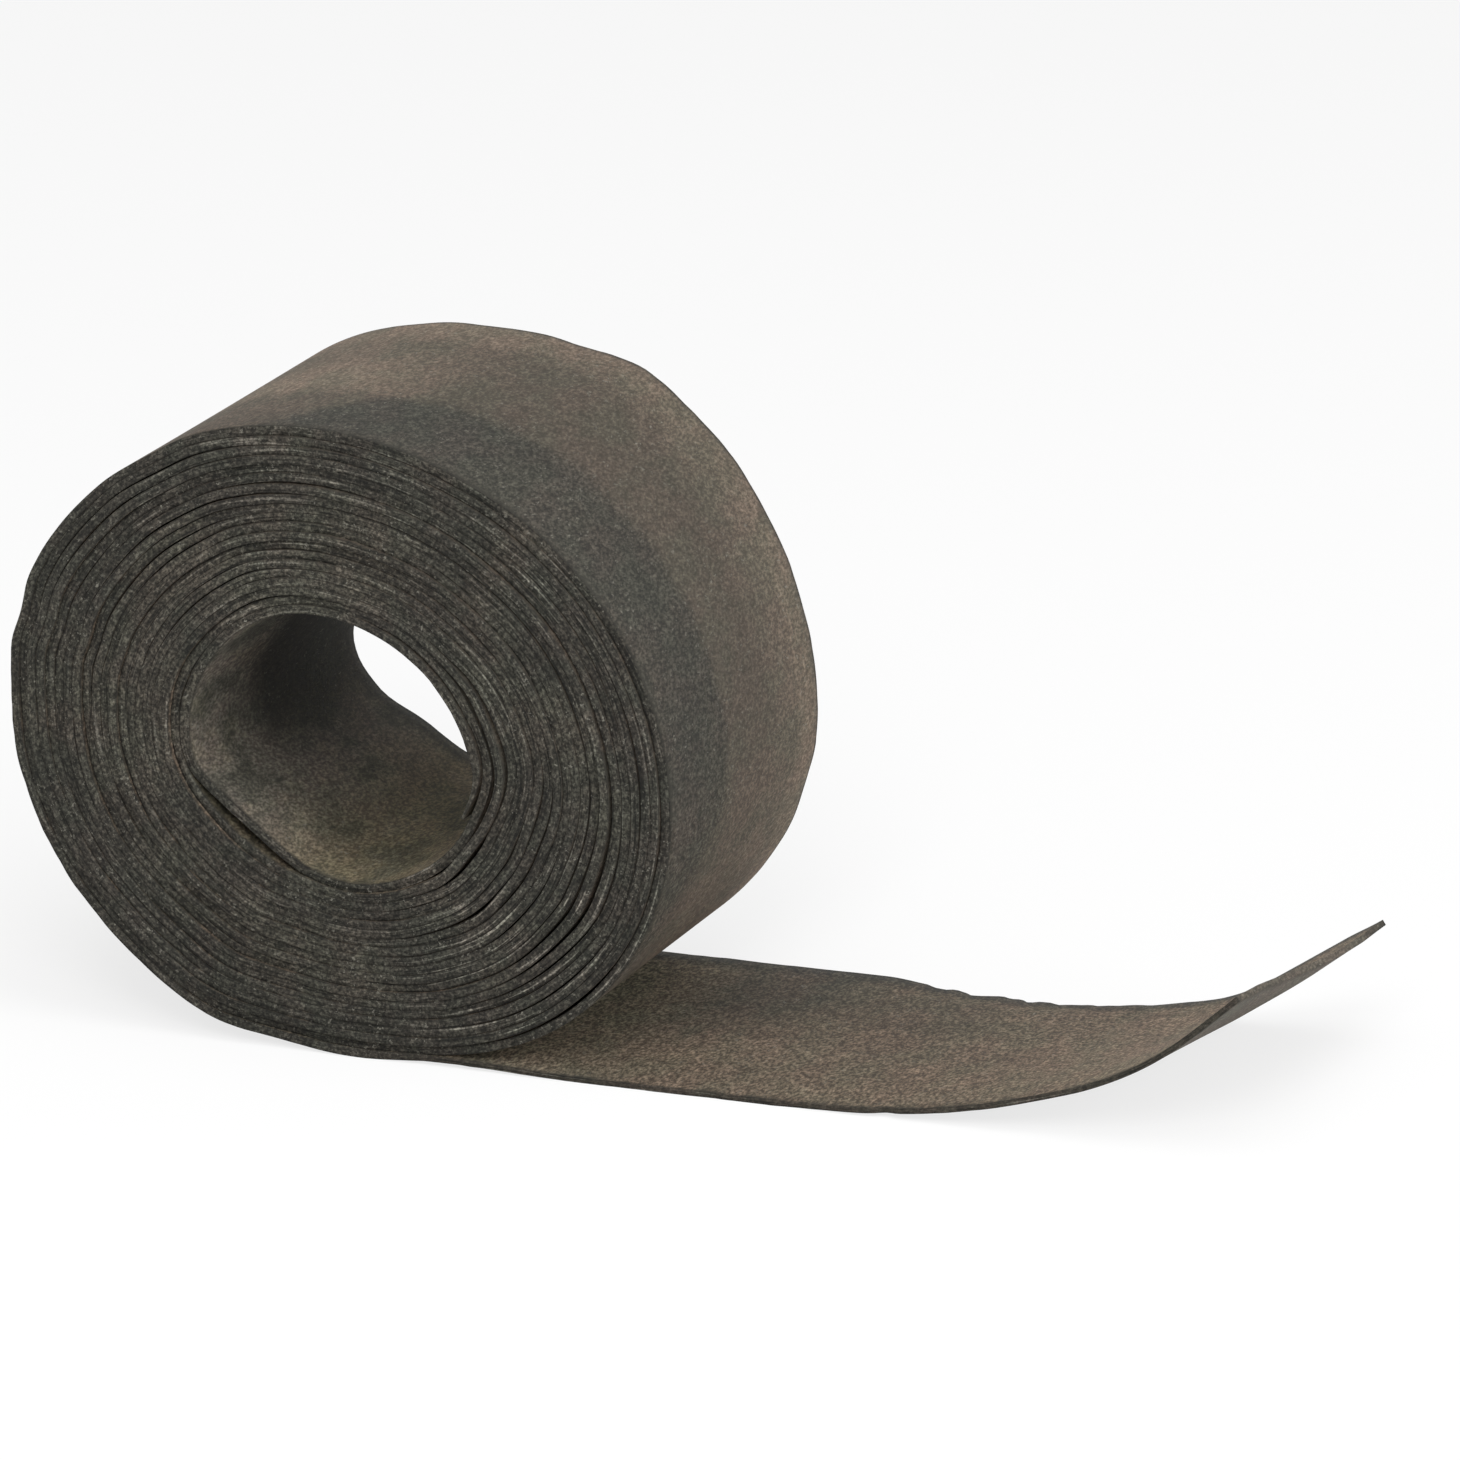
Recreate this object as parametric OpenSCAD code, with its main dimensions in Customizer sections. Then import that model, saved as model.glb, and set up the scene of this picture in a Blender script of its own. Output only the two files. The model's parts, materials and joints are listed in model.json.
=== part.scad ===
// Roll of bitumen damp proof course, wound from one strip, with its outer end pulled out flat and
// curling up at the cut. The roll's axis runs along Y through the origin. The strip lies towards +X.

/* [Strip] */
// Width of the strip, which is also the width of the roll
strip_w = 112.5; // [75:0.5:300]
// Thickness of the strip
strip_t = 2.3; // [1.5:0.1:3.5]

/* [Roll] */
// Radius of the open bore
bore_r = 36; // [25:1:60]
// Number of turns between the bore and the outside
turns = 20; // [6:1:40]
// Air between one turn and the next
winding_gap = 0.1; // [0.05:0.05:0.4]
// Width of the line between two turns, where their worn edges meet on the ends
seam_w = 0.5; // [0.3:0.1:0.9]
// Depth of that line
seam_d = 2; // [0.5:0.5:6]

/* [Loose end] */
// Length that lies flat, measured from under the roll's axis
flat_len = 140; // [110:5:400]
// Radius of the slow lift after the flat
lift_r = 200; // [100:10:400]
// Angle turned by the slow lift
lift_a = 15; // [5:1:20]
// Radius of the tighter bend after it
bend_r = 45; // [30:5:100]
// Angle turned by the tighter bend
bend_a = 25; // [5:1:30]
// Straight length from the bend to the cut
tip_len = 34; // [10:2:60]

/* [Hidden] */

$fn = 180;
arc_steps = 16;                        // chords in each bend of the loose end
pitch = strip_t + winding_gap;         // growth of the radius with each turn
roll_r = bore_r + turns * pitch;
floor_z = -roll_r;

// Points along an arc of radius r from heading a0 to heading a1, starting at p and rising to the left
function arc(p, r, a0, a1) = [
    for (i = [0 : arc_steps])
        let (a = a0 + (a1 - a0) * i / arc_steps)
        p + r * [sin(a) - sin(a0), cos(a0) - cos(a)]
];

// Height profile of the loose end at a distance above its underside, measured square to the strip
function loose_end(above) =
    let (
        tip_a = lift_a + bend_a,
        lift = arc([flat_len, floor_z + above], lift_r - above, 0, lift_a),
        bend = arc(lift[arc_steps], bend_r - above, lift_a, tip_a),
        tip = bend[arc_steps] + tip_len * [cos(tip_a), sin(tip_a)]
    )
    concat([[0, floor_z + above]], lift, [for (i = [1 : arc_steps]) bend[i]], [tip]);

// Loose end: flat on the ground, then lifting and bending up to the cut
module tail() {
    under = loose_end(0);
    over = loose_end(strip_t);
    rotate([90, 0, 0])
        linear_extrude(strip_w, center = true)
            polygon(concat(under, [for (i = [len(over) - 1 : -1 : 0]) over[i]]));
}

// Half section of the roll, with a seam cut into both ends under every turn but the innermost
module roll_section() {
    difference() {
        translate([bore_r, -strip_w / 2])
            square([roll_r - bore_r, strip_w]);
        for (k = [1 : turns - 1], side = [-1, 1])
            translate([bore_r + k * pitch - seam_w / 2, side * strip_w / 2 - seam_d])
                square([seam_w, 2 * seam_d]);
    }
}

// Strip: the wound roll and its loose end, all one piece
module damp_proof_strip() {
    color("#5c554b")
        union() {
            rotate([90, 0, 0])
                rotate_extrude()
                    roll_section();
            tail();
        }
}

damp_proof_strip();
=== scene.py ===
import json
import math

import bpy
import numpy as np
from mathutils import Matrix, Vector


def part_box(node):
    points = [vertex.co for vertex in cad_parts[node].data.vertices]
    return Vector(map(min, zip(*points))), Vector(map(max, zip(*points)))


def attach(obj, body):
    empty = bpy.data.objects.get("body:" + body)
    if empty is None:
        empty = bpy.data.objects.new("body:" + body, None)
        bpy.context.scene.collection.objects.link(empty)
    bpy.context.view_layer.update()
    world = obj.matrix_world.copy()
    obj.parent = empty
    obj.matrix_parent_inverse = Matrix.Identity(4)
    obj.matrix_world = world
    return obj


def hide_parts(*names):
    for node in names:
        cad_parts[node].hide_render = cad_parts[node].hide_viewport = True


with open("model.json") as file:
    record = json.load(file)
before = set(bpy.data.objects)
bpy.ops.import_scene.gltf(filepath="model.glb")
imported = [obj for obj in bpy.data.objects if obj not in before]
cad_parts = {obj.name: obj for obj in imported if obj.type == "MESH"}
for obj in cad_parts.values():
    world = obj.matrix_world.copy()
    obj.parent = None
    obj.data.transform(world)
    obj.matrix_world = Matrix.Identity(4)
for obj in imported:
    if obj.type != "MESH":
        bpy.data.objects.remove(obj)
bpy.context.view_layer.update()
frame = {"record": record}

lowCorner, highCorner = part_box("damp_proof_strip")
boreMount = next(m for m in frame["record"]["mounts"] if m["name"] == "bore")
mm = 0.001
touching = 0.01 * mm                                # closer than this counts as touching
floorHeight = lowCorner[2]
stripWidth = highCorner[1] - lowCorner[1]
rollRadius = -lowCorner[0]
boreRadius = boreMount["dims"]["r_mm"] * mm
print("frame loaded, roll radius", round(rollRadius, 4), "strip width", round(stripWidth, 4))


def clearSelection():
    if bpy.context.object and bpy.context.object.mode != "OBJECT":
        bpy.ops.object.mode_set(mode="OBJECT")
    bpy.ops.object.select_all(action="DESELECT")


def smooth(x, low, high):
    t = np.clip((x - low) / (high - low), 0, 1)
    return t * t * (3 - 2 * t)


def wander(place, spacing, seed):
    # smooth random numbers around 0 along a length, one new value every spacing
    step = place / spacing
    first = np.floor(step).astype(int)
    first -= first.min()
    values = np.random.default_rng(seed).standard_normal(first.max() + 2)
    blend = smooth(step - np.floor(step), 0, 1)
    return values[first] * (1 - blend) + values[first + 1] * blend


def waver(place, waves, shift=0):
    # sum of wandering numbers, each as (size, spacing, seed)
    return sum(size * wander(place, spacing, seed + shift) for size, spacing, seed in waves)


def between(x, start, full, fading, stop):
    # 1 from full to fading, 0 before start and after stop
    return smooth(x, start, full) * (1 - smooth(x, fading, stop))


class Link:
    # a socket that can be used in sums

    def __init__(self, finish, socket):
        self.finish = finish
        self.socket = socket

    def maths(self, operation, other, flipped=False):
        pair = (other, self) if flipped else (self, other)
        return self.finish.add("Math", {"operation": operation}, {0: pair[0], 1: pair[1]})

    def __add__(self, other):
        return self.maths("ADD", other)

    def __sub__(self, other):
        return self.maths("SUBTRACT", other)

    def __mul__(self, other):
        return self.maths("MULTIPLY", other)

    def __rsub__(self, other):
        return self.maths("SUBTRACT", other, True)

    __radd__ = __add__
    __rmul__ = __mul__


class Finish:
    # a material or a sky, and the nodes in it

    def __init__(self, holder):
        holder.use_nodes = True
        self.holder = holder
        self.tree = holder.node_tree
        self.tree.nodes.clear()

    def add(self, kind, settings, inputs, output=0):
        node = self.tree.nodes.new("ShaderNode" + kind)
        for name, value in settings.items():
            setattr(node, name, value)
        for name, value in inputs.items():
            if isinstance(value, Link):
                self.tree.links.new(value.socket, node.inputs[name])
            else:
                node.inputs[name].default_value = value
        return Link(self, node.outputs[output]) if node.outputs else None

    def grain(self, place, size, detail=2.0, roughness=0.5, distortion=0.0):
        # noise from 0 to 1 with features about this size in metres
        return self.add("TexNoise", {"noise_dimensions": "3D"},
                        {"Vector": place, "Scale": 0.5 / size, "Detail": detail,
                         "Roughness": roughness, "Distortion": distortion})

    def stretch(self, place, scale, shift=(0, 0, 0)):
        return self.add("Mapping", {}, {"Vector": place, "Scale": scale, "Location": shift})

    def step(self, value, low, high, outLow=0.0, outHigh=1.0):
        return self.add("MapRange", {"interpolation_type": "SMOOTHSTEP"},
                        {"Value": value, "From Min": low, "From Max": high,
                         "To Min": outLow, "To Max": outHigh})

    def between(self, value, start, full, fading, stop, top=1.0):
        # top from full to fading, 0 before start and after stop
        return self.step(value, start, full) * self.step(value, stop, fading, 0, top)

    def blend(self, mask, under, over, way="MIX"):
        return self.add("Mix", {"data_type": "RGBA", "blend_type": way},
                        {0: mask, 6: under, 7: over}, 2)

    def coat(self, colour, roughness, normal):
        shader = self.add("BsdfPrincipled", {},
                          {"Base Color": colour, "Roughness": roughness, "Normal": normal,
                           "Specular IOR Level": 0.3})
        self.add("OutputMaterial", {}, {"Surface": shader})
        return self.holder


def colour(red, green, blue):
    # screen values from 0 to 255 made linear
    linear = [((c / 255 + 0.055) / 1.055) ** 2.4 for c in (red, green, blue)]
    return (*linear, 1)


# the strip is cut flat, wound up and only then given its thickness

strip = {
    "thickness": 2.2 * mm,
    "turns": 19.836,                      # from where it leaves the roll to its inner end
    "leaves": -84.0,                      # angle round the roll where it meets the ground, in degrees
    "dipsFrom": 322,                      # degrees back from there, where the outer turn starts to dip
    "looseLength": 236.2 * mm,            # from where it leaves the roll to the cut
    "outerLength": 560 * mm,              # of the outer turn, for the steps
    "lengthSteps": (1.4 * mm, 1.8 * mm, 2.4 * mm),   # on the loose end, the outer turn and the rest
    "acrossSteps": 8,
    "edgeRound": 0.1 * mm,

    # out of round, as (lobes, depth, angle of a high point), on the front and rear ends
    "outerSag": [
        [(0, 0.05 * mm, 0), (2, 6.0 * mm, -22), (3, 0.5 * mm, -20), (4, 0.7 * mm, -37),
         (5, 0.2 * mm, 25)],
        [(0, 0.35 * mm, 0), (2, 3.0 * mm, -24), (3, 2.1 * mm, -32), (4, 2.0 * mm, 37),
         (5, 1.3 * mm, -9)],
    ],
    "boreSag": [
        [(0, -0.6 * mm, 0), (1, 1.2 * mm, -158), (2, 3.5 * mm, -25), (3, 0.7 * mm, -55),
         (4, 0.3 * mm, 3), (5, 0.4 * mm, -21)],
        [(0, -1.0 * mm, 0), (1, 1.4 * mm, -162), (2, 2.6 * mm, -10), (3, 1.4 * mm, -44),
         (4, 1.0 * mm, 5), (5, 1.4 * mm, -30)],
    ],
    # small dents and bulges, as (angle, reach in degrees, depth), front and rear
    "outerDents": [
        [(162, 6, -0.8 * mm), (168, 4, 0.3 * mm), (176, 12, -0.4 * mm), (138, 18, -0.7 * mm),
         (-116, 14, 1.2 * mm), (-98, 8, -0.2 * mm), (-140, 16, -0.6 * mm), (126, 10, -0.8 * mm)],
        [(76, 7, -0.6 * mm), (63, 9, 0.9 * mm), (49, 9, -0.4 * mm), (100, 8, 0.4 * mm),
         (20, 10, 0.4 * mm), (-20, 8, -0.4 * mm), (176, 40, 3.5 * mm)],
    ],
    "boreDents": [[(45, 60, -0.7 * mm)], [(-148, 12, 0.6 * mm)]],

    # the first turn of the bore has sprung straight on one side, away from the turn behind it
    "innerAngle": (-128, -120),           # middle of the straight part, front and rear
    "innerReach": 75,                     # degrees to either side of it
    "innerDistance": (30.6 * mm, 32.5 * mm),   # of its near side from the axis
    "innerBlend": 0.5 * mm,
    "rampDegrees": 25,                    # over which the second turn climbs over the tip
    "tipLength": 20 * mm,                 # worn thin towards the tip
    "tipThin": 0.3,                       # share of the thickness left there

    # air between turns: even air as (size, degrees, seed), and how much of it the strip itself fills
    "evenAir": [(0.5, 43, 5), (0.4, 17, 6)],
    "swell": 0.80,
    "swellEven": 8,                       # degrees to either side that the filled air is averaged over
    "swellStarts": 60,                    # degrees from where it leaves the roll
    # looser places: turn counted from outside, angle, reach in degrees, extra air as a multiple, and
    # a tighter place has less than 0
    "slack": [
        (1, -52, 26, 1.8), (1, 10, 40, 0.8), (2, 35, 50, 0.8), (2, 150, 22, 1.0), (3, 140, 16, 1.0),
        (4, -138, 16, 1.2), (3, 20, 40, 1.0), (5, -45, 22, 1.0), (5, -176, 10, 0.8), (6, 10, 60, 3.2),
        (7, -20, 35, 1.4), (8, 35, 85, 2.4), (7, 118, 30, 2.0), (7, -170, 16, 1.4), (8, -172, 12, 1.0),
        (9, 150, 45, 1.4), (9, -118, 12, 1.2), (10, -35, 14, 0.6), (10, 132, 16, 1.2), (11, -52, 12, 0.3),
        (12, 90, 10, 0.8), (12, -33, 10, 0.5), (13, -50, 22, -0.5), (13, 102, 12, 1.2), (14, 20, 30, 0.6),
        (15, 132, 22, 1.2), (18, 115, 20, 1.4), (17, 15, 38, 5.0), (18, 8, 44, 7.5), (19, 45, 38, 3.5),
        (18, -55, 25, 0.6), (17, -35, 14, 0.5), (16, -60, 14, 0.8), (19, -124, 30, 7.0),
    ],
    # turns slip sideways against each other, and the inner ones slip more, as (size, length, seed)
    "slip": [(0.35 * mm, 0.31, 21), (0.2 * mm, 0.083, 22)],
    "fineSlip": [(0.12 * mm, 0.012, 23)],
    "slipStarts": 0.3,                    # past the loose end, full slip from here on
    "innerSlip": (0.9, 0.4, 1.5),         # distances from the tip, and how much more
    "roughEdge": [(0.1 * mm, 3.2 * mm, 41), (0.12 * mm, 9 * mm, 61)],

    # loose end on its front and rear edges: the low arch beside the roll, then each bend upwards as
    # where it starts, where it ends and its angle
    "settles": 20 * mm,                   # comes down to the ground over this
    "arch": (1.0 * mm, 0.0),
    "archPlace": (0, 20 * mm, 22 * mm, 60 * mm),
    "bends": [
        [(100 * mm, 160 * mm, 6.1), (126 * mm, 198 * mm, 13.5), (182 * mm, 228 * mm, 22.5)],
        [(166 * mm, 171 * mm, 11.2), (179 * mm, 206.5 * mm, 22.6)],
    ],
    # it hollows between its edges towards the cut
    "hollow": 2.1 * mm,
    "hollowPlace": (165 * mm, 225 * mm),
    "hollowBehind": 1.66,                 # deepest behind the middle if this is above 1

    # wear of the loose end, with places measured from where it leaves the roll
    "frayed": (97 * mm, 124 * mm, 146 * mm, 170 * mm),   # of the rear edge, fading in and out
    "frayedIn": 3.1 * mm,
    "frayedThin": 0.38,                   # share of its thickness left there
    "frayedFrom": (0.80, 0.85),           # shares of the width where it gets thinner and is pulled in
    "frayedLumps": [(0.75 * mm, 2.6 * mm, 24), (0.45 * mm, 9 * mm, 25)],
    "nick": (137 * mm, 4 * mm, 1.0 * mm),                # of the front edge: place, reach, depth
    "frontThin": (0.12, 0.62),            # share of the width and of the thickness along the front edge
    "thinStarts": 30 * mm,
    "cutReach": 6 * mm,                   # how far in the cut's shape is felt
    "cutSlant": 0.6 * mm,                 # front edge is longer by this
    "cutUneven": [(0.5 * mm, 14 * mm, 31)],
    "cutThin": (10 * mm, 0.7),            # length and share of the thickness left at the cut
    "tornCorner": 0.4 * mm,
}


def outOfRound(degrees, lobes):
    return sum(depth * np.cos(np.radians(n * (degrees - high))) for n, depth, high in lobes)


def dented(degrees, dents):
    shape = np.zeros(len(degrees))
    for angle, reach, depth in dents:
        away = np.abs((degrees - angle + 180) % 360 - 180)
        shape += depth * (1 - smooth(away, 0, reach))
    return shape


def looseness(index, even):
    # share of the air that each place between two turns takes
    weight = even.copy()
    for turn, angle, reach, times in strip["slack"]:
        middle = len(index) - 1 - ((turn - 1) * 360 + (strip["leaves"] - angle) % 360)
        weight += times * (1 - smooth(np.abs(index - middle), reach * 0.3, reach))
    return weight


def springStraight(radius, degrees, side):
    # the first turn of the bore cuts straight across, with soft corners
    first = np.arange(360)
    away = (degrees[first] - strip["innerAngle"][side] + 180) % 360 - 180
    away = np.clip(away, -strip["innerReach"], strip["innerReach"])
    straight = (strip["innerDistance"][side] + strip["thickness"] / 2) / np.cos(np.radians(away))
    gap = radius[first] - straight
    radius[first] -= np.log1p(np.exp(gap / strip["innerBlend"])) * strip["innerBlend"]


def windRadii(side):
    # middle and thickness of the strip from its inner end outwards, one value for each degree
    count = int(strip["turns"] * 360) + 1
    index = np.arange(count)
    degrees = strip["leaves"] - (count - 1 - index)
    thick = strip["thickness"]
    outer = rollRadius + outOfRound(degrees, strip["outerSag"][side])
    outer += dented(degrees, strip["outerDents"][side]) - thick / 2
    inner = boreRadius + outOfRound(degrees, strip["boreSag"][side])
    inner += dented(degrees, strip["boreDents"][side]) + thick / 2
    even = np.exp(waver(index * 1.0, strip["evenAir"]))
    weight = looseness(index, even)
    radius = np.zeros(count)
    filled = np.zeros(count)
    turned = count - 1 - index                                # degrees from where it leaves the roll

    def column(c, dip):
        # every turn at one angle, the air between them and the sum of its shares
        rows = np.arange(c, count, 360)
        room = outer[rows[-1]] - dip - inner[c] - (len(rows) - 1) * thick
        return rows, room, weight[rows[1:]].sum()

    # the outer turn dips by one layer before the loose end, and the second turn climbs over the tip
    rows, room, total = column((count - 1) % 360, 0)
    dip = (thick + room * weight[rows[-1]] / total) * smooth(turned, strip["dipsFrom"], 360)
    rows, room, total = column(0, dip[np.arange(0, count, 360)[-1]])
    ramp = thick + (room + thick) * weight[rows[1]] / (total - weight[rows[1]])
    for c in range(360):
        start = ramp * (smooth(c, 0, strip["rampDegrees"]) - 1)
        rows, room, total = column(c, dip[np.arange(c, count, 360)[-1]])
        air = (room - start) * weight[rows[1:]] / total
        radius[rows] = inner[c] + start + np.concatenate([[0], np.cumsum(thick + air)])
        # the strip swells into the even part of the air on both of its sides
        fill = np.maximum(air * even[rows[1:]] / weight[rows[1:]], 0)
        filled[rows] = np.minimum(np.append(fill[0], fill), np.append(fill, fill[-1]))
    springStraight(radius, degrees, side)
    # swelling changes slowly, and there is none beside the loose end
    reach = strip["swellEven"]
    nearby = np.ones(2 * reach + 1) / (2 * reach + 1)
    filled = np.convolve(np.pad(filled, reach, "edge"), nearby, "valid")
    filled *= smooth(turned, 0, strip["swellStarts"])
    return radius, thick + strip["swell"] * filled


def looseProfile(side, along):
    # place of the loose end's middle line, from where it leaves the roll
    fine = np.linspace(0, strip["looseLength"] + 5 * mm, 2400)
    heading = sum(angle * smooth(fine, start, stop) for start, stop, angle in strip["bends"][side])
    heading = np.radians(heading)
    step = fine[1] - fine[0]
    across = np.concatenate([[0], np.cumsum(np.cos(heading[1:]) * step)])
    up = np.concatenate([[0], np.cumsum(np.sin(heading[1:]) * step)])
    up += strip["arch"][side] * between(fine, *strip["archPlace"])
    return np.interp(along, fine, across), np.interp(along, fine, up)


def cornerVertices(mesh):
    corner = np.empty(len(mesh.loops), dtype=int)
    mesh.loops.foreach_get("vertex_index", corner)
    return corner


def layFlat(totalLength):
    # a flat grid with three lengths of step, and its own map in metres
    ends = np.array([0, strip["looseLength"], strip["looseLength"] + strip["outerLength"], totalLength])
    steps = np.concatenate([[0], np.cumsum(np.round(np.diff(ends) / strip["lengthSteps"]))])
    clearSelection()
    bpy.ops.mesh.primitive_grid_add(x_subdivisions=int(steps[-1]), y_subdivisions=strip["acrossSteps"],
                                    size=1, location=(0, 0, 0))
    piece = bpy.context.object
    piece.name = "damp_proof_strip_wound"
    mesh = piece.data
    flat = np.empty(len(mesh.vertices) * 3)
    mesh.vertices.foreach_get("co", flat)
    flat = flat.reshape(-1, 3)
    # along from the cut, and a share of the width from the front edge, with closer steps near both edges
    along = np.interp((0.5 - flat[:, 0]) * steps[-1], steps, ends)
    share = np.sin(flat[:, 1] * math.pi) / 2 + 0.5
    layer = mesh.uv_layers.active
    layer.name = "strip"
    places = np.column_stack([along, share * stripWidth])
    layer.data.foreach_set("uv", places[cornerVertices(mesh)].ravel())
    return piece, along, share


def cutUnevenly(along, share):
    # an uneven cut, with a torn corner at the rear
    isCut = 1 - smooth(along, 0, strip["cutReach"])
    uneven = waver(share * stripWidth, strip["cutUneven"])
    torn = smooth(share, 0.965, 1.0) - 0.8 * smooth(share, 0.9, 0.95) * (share < 0.97)
    return along - (uneven + strip["tornCorner"] * torn + strip["cutSlant"] * (1 - share)) * isCut


def wornThickness(along, share, loosePlace, frayed):
    # share of the thickness left along both edges of the loose end, and at the cut
    atRear = 1 - (1 - strip["frayedThin"]) * frayed * smooth(share, strip["frayedFrom"][0], 1)
    thinWidth, thinShare = strip["frontThin"]
    atFront = thinShare + (1 - thinShare) * smooth(share, 0, thinWidth)
    edges = atRear * (1 - (1 - atFront) * smooth(loosePlace, 0, strip["thinStarts"]))
    thinLength, thinShare = strip["cutThin"]
    return edges, thinShare + (1 - thinShare) * smooth(along, 0, thinLength)


def slipSideways(along, share, loosePlace, frayed, totalLength):
    slip = waver(along, strip["slip"])
    slip *= smooth(along - strip["looseLength"], 0, strip["slipStarts"])
    slip += waver(along, strip["fineSlip"])
    far, near, more = strip["innerSlip"]
    slip *= 1 + more * smooth(totalLength - along, far, near)
    # rear edge of the loose end is frayed and pulled in, front edge has a nick
    pulled = strip["frayedIn"] + waver(along, strip["frayedLumps"])
    slip -= pulled * frayed * smooth(share, strip["frayedFrom"][1], 1)
    place, reach, depth = strip["nick"]
    slip += depth * (1 - smooth(np.abs(loosePlace - place), 0, reach)) * (1 - smooth(share, 0.0, 0.05))
    return slip


def axisHeight(radius, degrees):
    # height of the roll's axis with the lowest place of the outer turn on the ground
    lowest = (radius[-360:] * np.sin(np.radians(degrees[-360:]))).min()
    return floorHeight + strip["thickness"] / 2 - lowest


def windStrip():
    # for the front and the rear edge, at each degree from the inner end
    radii, thicknesses = np.stack([windRadii(side) for side in (0, 1)], axis=1)
    degrees = strip["leaves"] - np.arange(radii.shape[1])[::-1]
    lengths = np.concatenate([[0], np.cumsum(radii.mean(0)[::-1][:-1] * math.radians(1))])
    totalLength = strip["looseLength"] + lengths[-1]
    heights = [axisHeight(radius, degrees) for radius in radii]
    raised = [round(height - floorHeight, 4) for height in heights]
    print("strip length", round(totalLength, 3), "m, axis height", raised)

    piece, along, share = layFlat(totalLength)
    along = cutUnevenly(along, share)
    woundPlace = np.clip(along - strip["looseLength"], 0, None)
    loosePlace = np.clip(strip["looseLength"] - along, 0, None)
    turned = np.interp(woundPlace, lengths, degrees[::-1])
    thick = [np.interp(woundPlace, lengths, thickness[::-1]) for thickness in thicknesses]
    thick = thick[0] * (1 - share) + thick[1] * share
    frayed = between(loosePlace, *strip["frayed"])
    edgesLeft, cutLeft = wornThickness(along, share, loosePlace, frayed)

    # both edges are laid out, wound or loose, and the strip runs straight between them
    leave = math.radians(strip["leaves"])
    isLoose = along < strip["looseLength"]
    edges = []
    for side in (0, 1):
        radius = np.interp(woundPlace, lengths, radii[side][::-1])
        rollX = radius * np.cos(np.radians(turned))
        rollZ = radius * np.sin(np.radians(turned)) + heights[side]
        across, up = looseProfile(side, loosePlace)
        startX = radii[side, -1] * math.cos(leave)
        startZ = radii[side, -1] * math.sin(leave) + heights[side]
        settle = floorHeight + strip["thickness"] / 2 - startZ
        settle *= smooth(loosePlace, 0, strip["settles"])
        edges.append((np.where(isLoose, startX + across, rollX),
                      np.where(isLoose, startZ + up + settle, rollZ)))
    x, z = [front * (1 - share) + rear * share for front, rear in zip(*edges)]
    z -= (1 - edgesLeft) * strip["thickness"] / 2             # worn from above, lying on the ground
    bowed = np.sin(math.pi * share ** strip["hollowBehind"])
    z -= strip["hollow"] * bowed * smooth(loosePlace, *strip["hollowPlace"])
    y = (share - 0.5) * stripWidth + slipSideways(along, share, loosePlace, frayed, totalLength)
    piece.data.vertices.foreach_set("co", np.column_stack([x, y, z]).ravel())
    piece.data.update()

    # thickness as a share of the thickest place, for the thickening
    tip = strip["tipThin"] + (1 - strip["tipThin"]) * smooth(totalLength - along, 0, strip["tipLength"])
    thick = thick * np.minimum(np.minimum(edgesLeft, tip), cutLeft)
    piece["thickest"] = float(thick.max())
    left = piece.vertex_groups.new(name="thickness left")
    for vertex, part in enumerate((thick / thick.max()).tolist()):
        left.add([vertex], part, "REPLACE")
    return piece, totalLength


def placesOnStrip(mesh):
    # place of each vertex along and across the strip, from its map
    place = np.empty(len(mesh.loops) * 2)
    mesh.uv_layers["strip"].data.foreach_get("uv", place)
    onStrip = np.zeros((len(mesh.vertices), 2))
    onStrip[cornerVertices(mesh)] = place.reshape(-1, 2)
    return onStrip[:, 0], onStrip[:, 1]


def roughenEdges(mesh, oneSide):
    # both long edges are a little rough, each corner of them in its own way
    along, across = placesOnStrip(mesh)
    points = np.empty(len(mesh.vertices) * 3)
    mesh.vertices.foreach_get("co", points)
    points = points.reshape(-1, 3)
    isOther = np.arange(len(points)) >= oneSide
    for side, edge in ((-1, across < touching), (1, across > stripWidth - touching)):
        for other in (False, True):
            chosen = edge & (isOther == other)
            points[chosen, 1] += waver(along[chosen], strip["roughEdge"], side + 5 * other)
    mesh.vertices.foreach_set("co", points.ravel())
    mesh.update()


def thickenStrip(piece):
    clearSelection()
    bpy.context.view_layer.objects.active = piece
    piece.select_set(True)
    mesh = piece.data
    oneSide = len(mesh.vertices)
    solidify = piece.modifiers.new("Thickness", "SOLIDIFY")
    solidify.thickness = piece["thickest"]
    solidify.offset = 0
    solidify.vertex_group = "thickness left"
    solidify.material_offset = 1
    solidify.material_offset_rim = 2
    bpy.ops.object.modifier_apply(modifier="Thickness")

    # second map: how far through the thickness, in metres
    through = np.where(cornerVertices(mesh) < oneSide, 0, strip["thickness"])
    section = mesh.uv_layers.new(name="section")
    section.data.foreach_set("uv", np.column_stack([through, through * 0]).ravel())
    # the cut has worn as pale as the outside
    along = placesOnStrip(mesh)[0]
    for face in mesh.polygons:
        if max(along[v] for v in face.vertices) < touching:
            face.material_index = 1
    roughenEdges(mesh, oneSide)

    bevel = piece.modifiers.new("Rounded edge", "BEVEL")
    bevel.width = strip["edgeRound"]
    bevel.segments = 1
    bevel.limit_method = "ANGLE"
    bevel.angle_limit = math.radians(50)
    bpy.ops.object.modifier_apply(modifier="Rounded edge")
    piece.vertex_groups.clear()
    bpy.ops.object.shade_smooth_by_angle(angle=math.radians(55))
    print("strip thickened,", len(piece.data.polygons), "faces")


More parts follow.
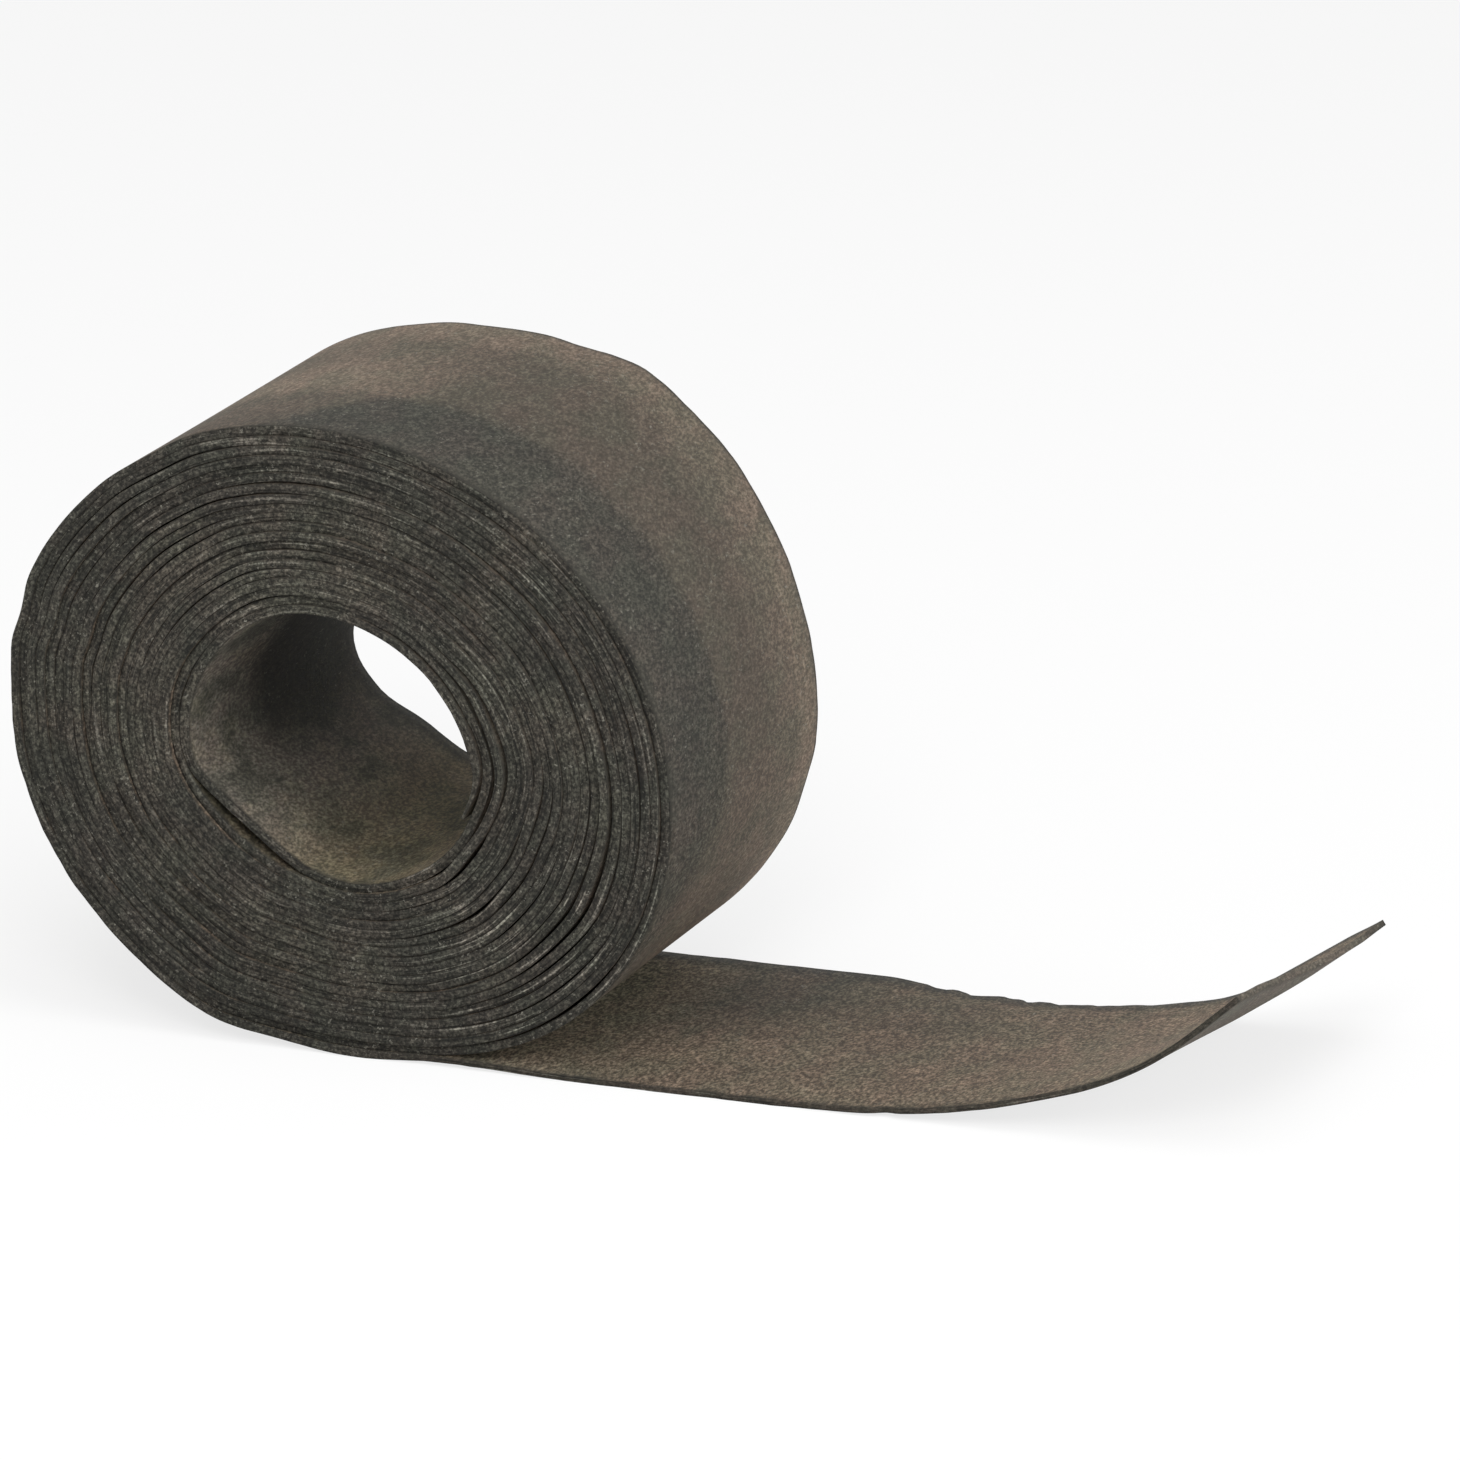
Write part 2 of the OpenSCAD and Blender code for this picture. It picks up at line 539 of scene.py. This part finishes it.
tones = {
    "outside": colour(96, 88, 77),
    "outsidePale": colour(128, 115, 100),
    "outsideDark": colour(78, 72, 63),
    "inside": colour(109, 97, 83),
    "insidePale": colour(132, 117, 99),
    "insideDark": colour(84, 76, 65),
    "olive": colour(117, 109, 86),
    "mauve": colour(108, 103, 94),
    "olivePale": colour(128, 121, 103),
    # dark blotches in the bore, and the painted shadow there
    "stainAndShade": colour(46, 45, 38),
    # dark band on the outside, and the painted shadow on the loose end
    "tarAndShade": colour(58, 57, 51),
    "edge": colour(60, 58, 52),
    "edgeBrown": colour(72, 69, 61),
    "looseEdge": colour(64, 59, 52),
    "edgeDark": colour(31, 30, 26),
    "edgePale": colour(140, 137, 126),
}


class StripFinish(Finish):
    # the fine sandy grain that every side of the strip shares

    def __init__(self, name):
        super().__init__(bpy.data.materials.new(name))
        self.place = self.add("Mapping", {}, {"Vector": self.add("TexCoord", {}, {}, "Object"),
                                              "Scale": (1, 0.5, 1), "Rotation": (0.6, 0.9, 0.4)})
        self.onStrip = self.add("UVMap", {"uv_map": "strip"}, {})
        self.along = self.add("SeparateXYZ", {}, {"Vector": self.onStrip}, 0)
        self.across = self.add("SeparateXYZ", {}, {"Vector": self.onStrip}, 1)
        self.sand = self.grain(self.place, 0.40 * mm, 2, 0.65)
        self.mottle = self.grain(self.place, 1.1 * mm, 3, 0.6)
        self.hue = self.grain(self.place, 6 * mm, 3, 0.6)

    def shade(self, base, amount):
        grey = self.add("CombineColor", {}, {0: amount, 1: amount, 2: amount})
        return self.blend(1.0, base, grey, "MULTIPLY")

    def sprinkle(self, base, depth, specks):
        # uneven grain, darker and lighter by the depth, with patches a little redder or greener and a
        # few pale specks
        base = self.shade(base, self.step(self.sand, 0.35, 0.75, 1 - depth * 0.8, 1 + depth * 1.4))
        base = self.shade(base, self.step(self.mottle, 0.3, 0.7, 1 - depth * 0.35, 1 + depth * 0.35))
        red = self.step(self.hue, 0.35, 0.65, 0.955, 1.055)
        blue = self.step(self.hue, 0.35, 0.65, 0.98, 1.01)
        tint = self.add("CombineColor", {}, {0: red, 1: 1.0, 2: blue})
        base = self.blend(1.0, base, tint, "MULTIPLY")
        bright = self.grain(self.place, 0.6 * mm, 3, 0.8)
        gathered = self.step(self.grain(self.place, 8 * mm, 3, 0.6), 0.35, 0.65, specks * 0.4, specks)
        return self.blend(self.step(bright, 0.60, 0.68) * gathered, base, tones["edgePale"])


# places of the marks on the strip, in metres along it from the cut, across it from the front edge,
# or along it from the inner tip: a pair fades in from the first to the second, and a four fades
# out again from the third to the fourth
marks = {
    # outer face
    "bandAlong": (0.47, 0.52, 0.64, 0.71),          # dark band over the top of the outer turn
    "bandDusk": (0.100, 0.060),                     # darker around it, across
    "bandWidth": 47 * mm,
    "bandBorder": 5 * mm,
    "bandWander": (34 * mm, 18 * mm),               # coarse and fine
    "bandBack": 6 * mm,                             # it starts this far before the front edge
    "litLowAlong": (0.62, 0.69),                       # painted light, paler low on the outer turn
    "litLowAcross": (0.015, 0.08),
    "topAlong": (0.53, 0.48),                       # paler over the top
    "topAcross": (0.032, 0.045, 0.055, 0.080),
    "rearAcross": (0.088, 0.108),                   # paler beside the rear edge
    "rubbedAlong": (0.55, 0.62),                    # pale streaks there
    "rubbedAcross": (stripWidth - 26 * mm, stripWidth - 6 * mm),
    "cutGrey": (0.06, 0.03),
    "cutDark": (0.004, 0.001),
    "tornAlong": (0.014, 0.005),                    # dark torn corner of the cut
    "tornAcross": (0.092, 0.107),
    # inner face
    "cutPale": (0.12, 0.03),
    "frontPale": (0.060, 0.010),                    # except in the bore
    "shadowAlong": (0.168, 0.200, 0.170, 0.195),      # painted shadow of the roll, a dark slanting patch away from it
    "shadowSlant": 0.45,
    "litBesideRollAlong": (0.160, 0.205, 0.24, 0.30),       # painted light, paler and greyish where the loose end leaves the roll
    "boreFromTip": (0.5, 0.3),
    "notBoreFromTip": (0.5, 0.7),
    "oliveFromTip": (0.150, 0.185),
    "shadeFromTip": (0.055, 0.088, 0.134, 0.156),   # painted shadow in the bore
    "shadeAcross": (0.030, 0.054),
    "shadeWander": 24 * mm,
    "rearRim": (stripWidth - 11 * mm, stripWidth - 3 * mm),
    "rearRimWander": 6 * mm,
    # both faces
    "frontRim": (6 * mm, 0),
    "wornAndShadedRim": (1.8 * mm, 0.3 * mm),                # from each long edge
    # long edges
    "brownAlong": (1.5, 4.5),                       # browner towards the bore
    "looseAlong": (0.25, 0.20),
    "woundAlong": (0.20, 0.26),
    "boldPlace": (0, 50 * mm),                      # bolder lines, from the axis towards the loose end
    "sectionRim": 0.3 * mm,                         # dark rim of the section
}


def sandedFace(name, side):
    f = StripFinish(name)
    pale = tones[side + "Pale"]
    dark = tones[side + "Dark"]
    patches = f.grain(f.place, 6 * mm, 4, 0.6)
    clouds = f.grain(f.stretch(f.onStrip, (0.6, 1, 1), (0.3, 0.1, 0)), 14 * mm, 4, 0.6)
    streaks = f.grain(f.stretch(f.onStrip, (0.35, 1, 1)), 3.5 * mm, 3, 0.6, 0.2)
    smear = f.grain(f.stretch(f.onStrip, (0.35, 1, 1)), 26 * mm, 3, 0.5)
    base = f.blend(f.step(smear, 0.3, 0.7), dark, tones[side])
    base = f.blend(f.step(clouds, 0.48, 0.78, 0, 0.4), base, pale)
    base = f.blend(f.step(streaks, 0.5, 0.3, 0, 0.3), base, dark)
    base = f.blend(f.step(patches, 0.45, 0.25, 0, 0.4), base, dark)
    if side == "outside":
        base = markOutside(f, base, patches, clouds, smear)
    else:
        base = markInside(f, base, patches)
    # both edges are dark, partly worn and partly painted shade in the gaps between the turns
    wide, narrow = marks["wornAndShadedRim"]
    rim = f.step(f.across, wide, narrow) + f.step(f.across, stripWidth - wide, stripWidth - narrow)
    base = f.blend(rim * f.step(f.mottle, 0.3, 0.6, 0.95, 0.6), base, tones["edgeDark"])
    frontRim = f.step(f.across, *marks["frontRim"]) * f.step(patches, 0.35, 0.6, 0.6, 0.2)
    base = f.blend(frontRim, base, tones["edge"])
    height = f.sand * 0.8 + f.mottle * 0.3
    bump = f.add("Bump", {}, {"Height": height, "Strength": 0.7, "Distance": 0.3 * mm})
    return f.coat(base, f.step(f.sand, 0.2, 0.8, 0.78, 0.95), bump)


def markOutside(f, base, patches, clouds, smear):
    pale = tones["outsidePale"]
    dark = tones["outsideDark"]
    # dark band along the front edge, over the top and down the front of the outer turn
    reach = f.between(f.along, *marks["bandAlong"])
    base = f.blend(reach * f.step(f.across, *marks["bandDusk"], 0, 0.75), base, dark)
    coarse, fine = marks["bandWander"]
    edgeOfBand = reach * marks["bandWidth"] - marks["bandBack"]
    edgeOfBand = edgeOfBand + (smear - 0.5) * coarse + (patches - 0.5) * fine
    band = f.step(f.across - edgeOfBand, marks["bandBorder"], -marks["bandBorder"], 0, 0.85)
    base = f.blend(band * f.step(clouds, 0.75, 0.45, 0.7, 1), base, tones["tarAndShade"])
    # painted light low down, and paler over the top and beside the rear edge, which has pale streaks as
    # well
    low = f.step(f.along, *marks["litLowAlong"]) * f.step(f.across, *marks["litLowAcross"], 0.3, 0.8)
    start, full, fading, stop = marks["topAcross"]
    over = f.step(f.across, start, full) * f.step(f.across, stop, fading, 0.5, 1)
    over = f.step(f.along, *marks["topAlong"], 0, 0.85) * over
    low = low + over + f.step(f.across, *marks["rearAcross"], 0, 0.45)
    base = f.blend(low * f.step(patches, 0.3, 0.6, 0.5, 0.9), base, pale)
    rubbed = f.grain(f.stretch(f.onStrip, (0.1, 1, 1)), 3 * mm, 4, 0.65)
    rubbed = f.step(rubbed, 0.48, 0.66, 0, 0.7) * f.step(f.across, *marks["rubbedAcross"])
    base = f.blend(rubbed * f.step(f.along, *marks["rubbedAlong"]), base, pale)
    # greyer at the cut and dark at its torn corner
    base = f.blend(f.step(f.along, *marks["cutGrey"], 0, 0.85), base, tones["mauve"])
    base = f.blend(f.step(f.along, *marks["cutDark"], 0, 0.6), base, dark)
    torn = f.step(f.along, *marks["tornAlong"]) * f.step(f.across, *marks["tornAcross"], 0, 0.75)
    base = f.blend(torn, base, tones["edge"])
    return f.sprinkle(base, band * 0.25 + 0.45, 0.6)


def markInside(f, base, patches):
    pale = tones["insidePale"]
    fromTip = stripLength - f.along
    # painted shadow of the roll towards the rear a little away from it, painted light beside it, and
    # paler at the front and at the cut
    start, full, fading, stop = marks["shadowAlong"]
    paintedShadow = f.step(f.along + f.across * marks["shadowSlant"], start, full)
    paintedShadow = paintedShadow * f.step(f.along, stop, fading)
    base = f.blend(paintedShadow * f.step(patches, 0.3, 0.6, 0.8, 0.4), base, tones["tarAndShade"])
    # painted light, paler and greyish where the loose end leaves the roll, over its shade
    base = f.blend(f.between(f.along, *marks["litBesideRollAlong"], 0.9), base, tones["olivePale"])
    atFront = f.step(f.across, *marks["frontPale"], 0, 0.3)
    base = f.blend(atFront * f.step(fromTip, *marks["notBoreFromTip"]), base, pale)
    base = f.blend(f.step(f.along, *marks["cutPale"], 0, 0.5), base, pale)
    # the bore is greyer, with an olive patch, darker blotches and a painted shadow towards the rear
    turnInside = f.blend(f.step(fromTip, *marks["oliveFromTip"]), tones["mauve"], tones["olive"])
    base = f.blend(f.step(fromTip, *marks["boreFromTip"], 0, 0.8), base, turnInside)
    inBore = f.step(fromTip, *marks["boreFromTip"])
    blotches = f.step(f.grain(f.place, 5 * mm, 4, 0.65), 0.48, 0.66, 0, 0.5)
    base = f.blend(inBore * blotches, base, tones["olivePale"])
    base = f.blend(inBore * f.step(patches, 0.5, 0.35, 0, 0.5), base, tones["stainAndShade"])
    # painted shadow towards the rear of the bore, with a wandering edge
    across = f.across + (patches - 0.5) * marks["shadeWander"]
    stainAndShade = f.between(fromTip, *marks["shadeFromTip"]) * f.step(across, *marks["shadeAcross"])
    base = f.blend(stainAndShade * f.step(patches, 0.2, 0.5, 0.7, 0.95), base, tones["stainAndShade"])
    across = f.across + (patches - 0.5) * marks["rearRimWander"]
    rearRim = f.step(across, *marks["rearRim"]) * f.step(f.mottle, 0.3, 0.6, 1.0, 0.8)
    base = f.blend(rearRim, base, tones["edge"])
    return f.sprinkle(base, f.step(fromTip, 0.3, 0.5, 0.55, 0.7), 0.6)


def cutEdge(name):
    f = StripFinish(name)
    section = f.add("UVMap", {"uv_map": "section"}, {})
    through = f.add("SeparateXYZ", {}, {"Vector": section}, 0)
    fibrePlace = f.add("CombineXYZ", {}, {0: f.along * 0.28, 1: through, 2: f.across * 0.3})
    fibres = f.grain(fibrePlace, 0.30 * mm, 3, 0.65)
    runs = f.grain(f.add("CombineXYZ", {}, {0: f.along * 0.05, 1: through}), 1.5 * mm, 4, 0.6)
    layers = f.grain(f.add("CombineXYZ", {}, {0: f.along * 0.03, 1: through}), 0.42 * mm, 2, 0.5)
    patches = f.grain(f.place, 14 * mm, 3, 0.5)
    inward = f.step(f.along, *marks["brownAlong"], -0.06, 0.06)
    base = f.blend(f.step(patches + inward, 0.46, 0.70), tones["edge"], tones["edgeBrown"])
    base = f.blend(f.step(f.along, *marks["looseAlong"]), base, tones["looseEdge"])
    base = f.blend(f.step(runs, 0.50, 0.32, 0, 0.5), base, tones["edgeDark"])
    base = f.shade(base, f.step(fibres, 0.3, 0.7, 0.55, 1.5))
    # lines are bolder on the side of the loose end
    inSpace = f.add("TexCoord", {}, {}, "Object")
    bold = f.step(f.add("SeparateXYZ", {}, {"Vector": inSpace}, 0), *marks["boldPlace"])
    base = f.blend(f.step(layers, 0.44, 0.34) * (bold * 0.2 + 0.75), base, tones["edgeDark"])
    streaked = f.step(f.grain(f.place, 24 * mm, 2, 0.5), 0.42, 0.60, 0.25, 1) * (bold * 0.4 + 0.4)
    base = f.blend(streaked * f.step(layers, 0.58, 0.68), base, tones["edgePale"])
    thick = strip["thickness"]
    rimWidth = marks["sectionRim"]
    rim = f.step(through, rimWidth, 0) + f.step(through, thick - rimWidth, thick)
    faint = f.grain(f.add("CombineXYZ", {}, {0: f.along * 0.3, 1: through * 2}), 7 * mm, 3, 0.6)
    base = f.blend(rim * f.step(faint, 0.42, 0.58, 0, 0.9), base, tones["edgeDark"])
    wound = f.step(f.along, *marks["woundAlong"])
    base = f.sprinkle(base, wound * 0.32 + 0.4, wound * 0.65 + 0.2)
    height = f.sand * 0.8 + f.mottle * 0.4 + fibres * 0.8
    bump = f.add("Bump", {}, {"Height": height, "Strength": 0.8, "Distance": 0.35 * mm})
    return f.coat(base, f.step(f.sand, 0.2, 0.8, 0.75, 0.95), bump)


def coatStrip(piece):
    inside = sandedFace("sanded_inside", "inside")
    outside = sandedFace("sanded_outside", "outside")
    for finish in (inside, outside, cutEdge("cut_edge")):
        piece.data.materials.append(finish)
    print("strip coated with", len(piece.data.materials), "finishes")


studio = {
    "floorSize": 9.0,
    "floorTone": 0.86,
    "floorGlow": 0.75,                    # share of plain white that the camera sees in the floor
    "skyStrength": 0.5,
    # lamps as (name, place, size, power), all turned towards one point
    "lamps": [("top_light", (0.3, -0.5, 1.9), 1.6, 12),
              ("front_light", (0.55, -1.7, 1.2), 0.8, 13),
              ("low_light", (1.7, -0.5, 0.5), 1.2, 11)],
    "lampAim": (0.05, 0, 0),
    "lens": 246.6,
    "azimuth": 20.3,
    "elevation": 14.5,
    "distance": 2.433,
    "aim": (104 * mm, -stripWidth / 2, floorHeight + 93.9 * mm),
    "roll": 0.59,
}


def makeFloor():
    clearSelection()
    bpy.ops.mesh.primitive_plane_add(size=studio["floorSize"], location=(0, 0, floorHeight - 0.05 * mm))
    floor = bpy.context.object
    floor.name = "studio_floor"
    f = Finish(bpy.data.materials.new("pale_floor"))
    rays = f.add("LightPath", {}, {}, "Is Camera Ray")
    diffuse = f.add("BsdfDiffuse", {}, {"Color": (studio["floorTone"],) * 3 + (1,), "Roughness": 1.0})
    glow = f.add("Emission", {}, {"Color": (1, 1, 1, 1), "Strength": 1.0})
    mixed = f.add("MixShader", {}, {0: rays * studio["floorGlow"], 1: diffuse, 2: glow})
    f.add("OutputMaterial", {}, {"Surface": mixed})
    floor.data.materials.append(f.holder)


def makeSky():
    # plain white wherever it is seen, and softer as a light
    f = Finish(bpy.data.worlds.new("studio_sky"))
    seen = f.add("LightPath", {}, {}, "Is Camera Ray")
    for rays in ("Is Glossy Ray", "Is Transmission Ray"):
        seen = seen.maths("MAXIMUM", f.add("LightPath", {}, {}, rays))
    light = f.add("Background", {}, {"Color": (1, 1, 1, 1), "Strength": studio["skyStrength"]})
    white = f.add("Background", {}, {"Color": (1, 1, 1, 1), "Strength": 1.0})
    mixed = f.add("MixShader", {}, {0: seen, 1: light, 2: white})
    f.add("OutputWorld", {}, {"Surface": mixed})
    bpy.context.scene.world = f.holder


def addLamp(name, place, size, power):
    clearSelection()
    bpy.ops.object.light_add(type="AREA", location=place)
    lamp = bpy.context.object
    lamp.name = name
    lamp.data.size = size
    lamp.data.energy = power
    away = Vector(studio["lampAim"]) - Vector(place)
    lamp.rotation_euler = away.to_track_quat("-Z", "Y").to_euler()


def makeCamera():
    a = math.radians(studio["azimuth"])
    e = math.radians(studio["elevation"])
    back = Vector((math.sin(a) * math.cos(e), -math.cos(a) * math.cos(e), math.sin(e)))
    clearSelection()
    bpy.ops.object.camera_add(location=Vector(studio["aim"]) + back * studio["distance"])
    camera = bpy.context.object
    camera.name = "studio_camera"
    camera.data.lens = studio["lens"]
    camera.data.sensor_width = 36
    camera.data.clip_end = 50
    turn = (-back).to_track_quat("-Z", "Y").to_matrix()
    camera.rotation_euler = (turn @ Matrix.Rotation(math.radians(studio["roll"]), 3, "Z")).to_euler()
    bpy.context.scene.camera = camera


woundStrip, stripLength = windStrip()
coatStrip(woundStrip)           # before the thickening, which gives each side its finish by number
thickenStrip(woundStrip)
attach(woundStrip, "root")
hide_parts("damp_proof_strip")
print("strip finished")

makeFloor()
makeSky()
for lamp in studio["lamps"]:
    addLamp(*lamp)
makeCamera()
bpy.context.scene.view_settings.view_transform = "Standard"
print("studio ready")
